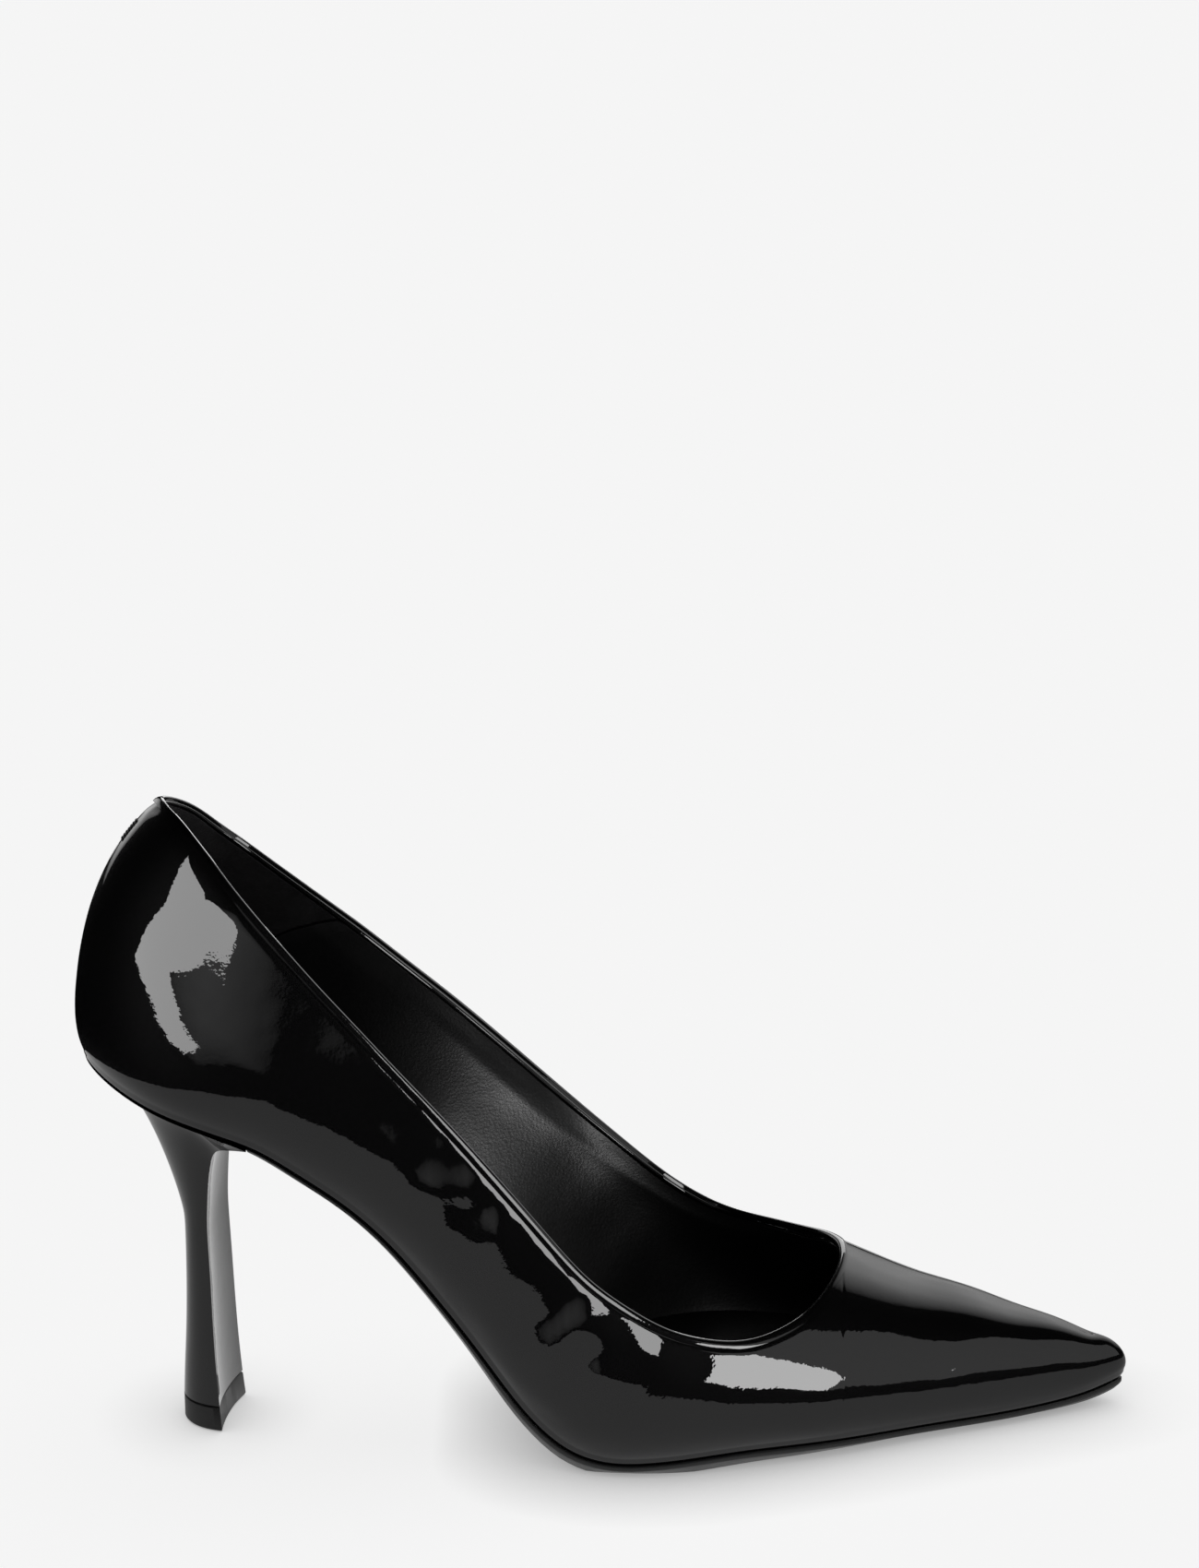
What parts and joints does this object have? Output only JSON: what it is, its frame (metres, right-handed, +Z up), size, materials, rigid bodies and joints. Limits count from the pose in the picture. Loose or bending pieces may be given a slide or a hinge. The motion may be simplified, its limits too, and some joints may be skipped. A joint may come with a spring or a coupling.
{
  "type": "high heel pump",
  "caption": "Pointed-toe slip-on dress shoe with a patent leather upper and a tall flared stiletto heel, for the right foot.",
  "frame": {"origin": "centre of the whole shoe's box, at ground level", "axes": "+X towards the toe, +Y towards the inner side of the foot, +Z up from the ground"},
  "size_m": [0.2362, 0.0736, 0.1488],
  "materials": {
    "patent": "mirror-gloss black patent",
    "suede": "matte black suede",
    "lining": "satin black lining leather",
    "fibre": "pressed cellulose board",
    "cloth": "woven cotton backing",
    "foam": "soft latex foam",
    "cork": "granulated cork",
    "steel": "blued spring steel",
    "brass": "plain brass",
    "plastic": "moulded black plastic",
    "rubber": "matte black",
    "thread": "black sewing thread"
  },
  "bodies": {
    "root": {"vamp": "patent", "medial_quarter": "patent", "topline_binding": "patent", "back_bartack": "thread", "vamp_lining": "lining", "heel_lining": "suede", "vamp_interlining": "cloth", "heel_counter": "fibre", "toe_puff": "fibre", "insole_board": "fibre", "footbed_pad": "foam", "sock_lining": "lining", "bottom_filler": "cork", "steel_shank": "steel", "shank_rivet_1": "brass", "shank_rivet_2": "brass", "outsole": "rubber", "heel_core": "plastic", "heel_cover": "patent", "heel_dowel": "steel", "heel_screw": "steel", "heel_nail_1": "steel", "heel_nail_2": "steel", "heel_nail_3": "steel", "heel_nail_4": "steel", "top_piece": "rubber", "top_piece_pin": "steel"}
  },
  "joints": []
}
